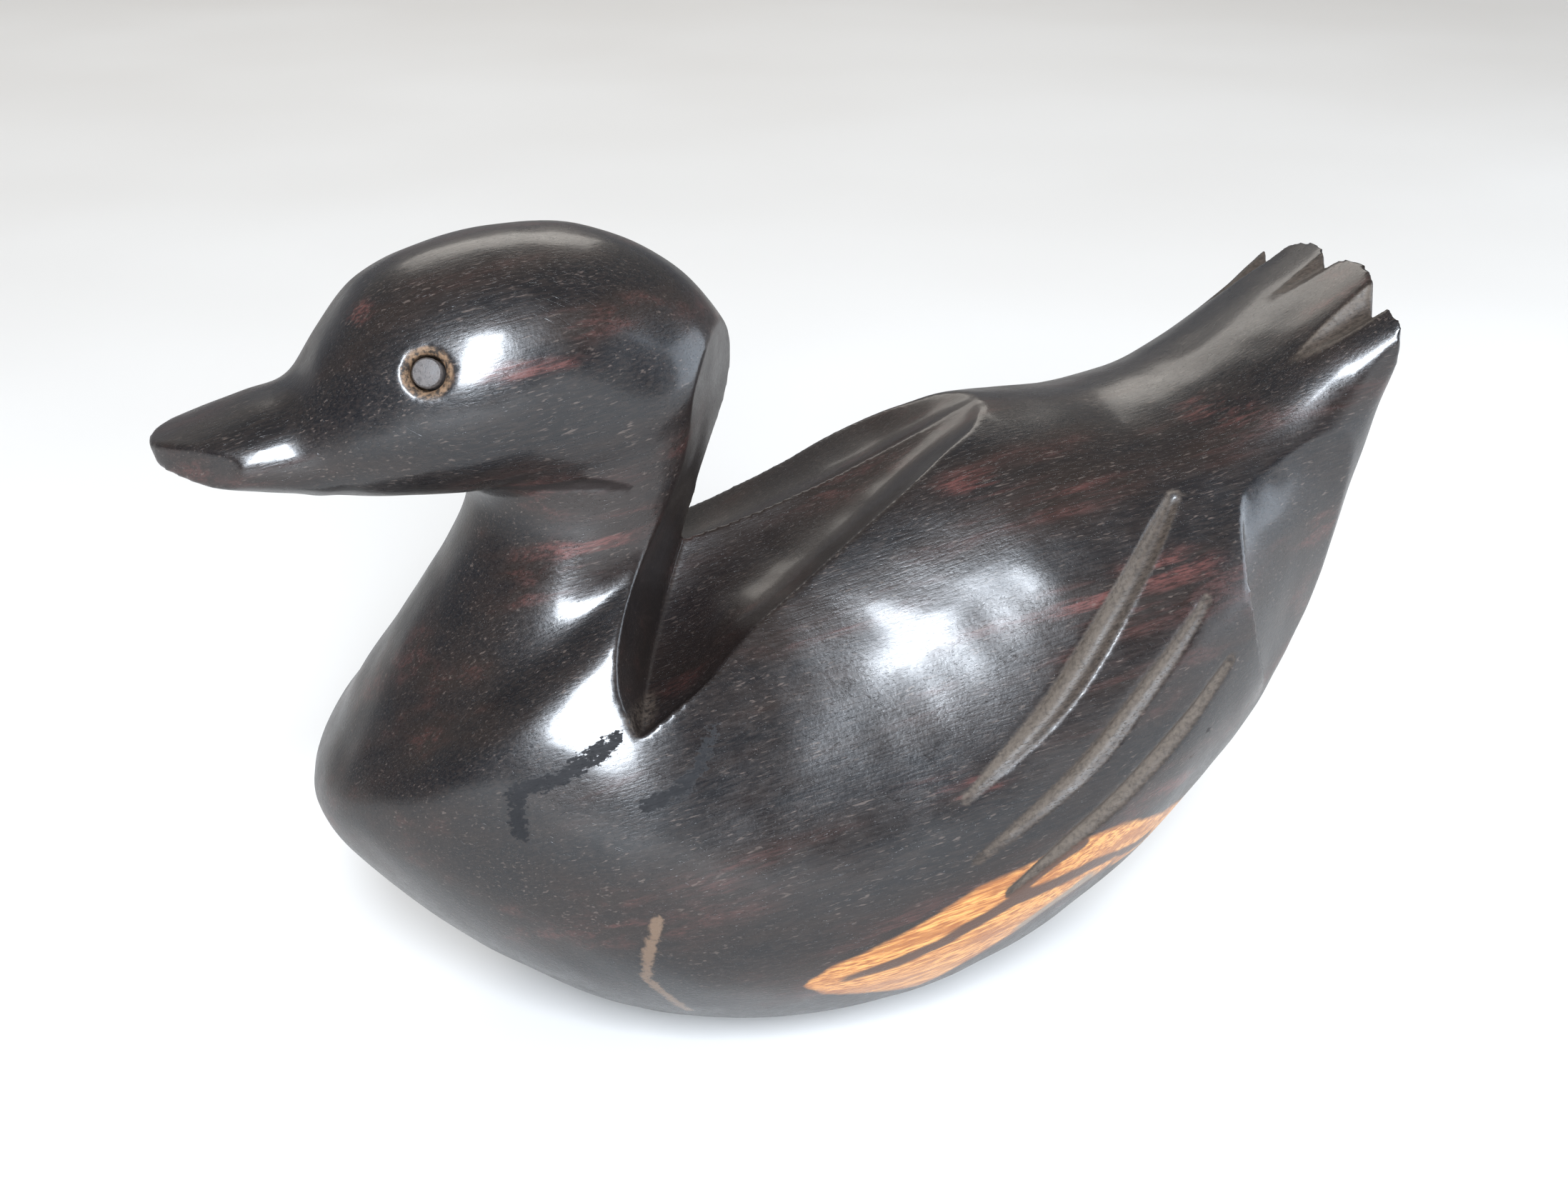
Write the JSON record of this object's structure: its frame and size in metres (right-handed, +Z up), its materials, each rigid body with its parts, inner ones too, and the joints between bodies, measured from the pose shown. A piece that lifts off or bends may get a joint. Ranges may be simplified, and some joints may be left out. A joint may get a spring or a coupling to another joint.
{
  "type": "carved wooden duck",
  "caption": "Solid free-standing duck carved from dark polished hardwood, with a fanned tail, folded wings, a hollowed back and round peg eyes.",
  "frame": {"origin": "under the middle of the duck, on the surface that it stands on", "axes": "+X towards the tail and -X towards the bill, -Y towards the duck's left side, +Z up"},
  "size_m": [0.1656, 0.0782, 0.1123],
  "materials": {
    "dark_wood": "polished",
    "peg_wood": "dull"
  },
  "bodies": {
    "root": {"duck_carving": "dark_wood", "eye_peg_left": "peg_wood", "eye_peg_right": "peg_wood"}
  },
  "joints": []
}
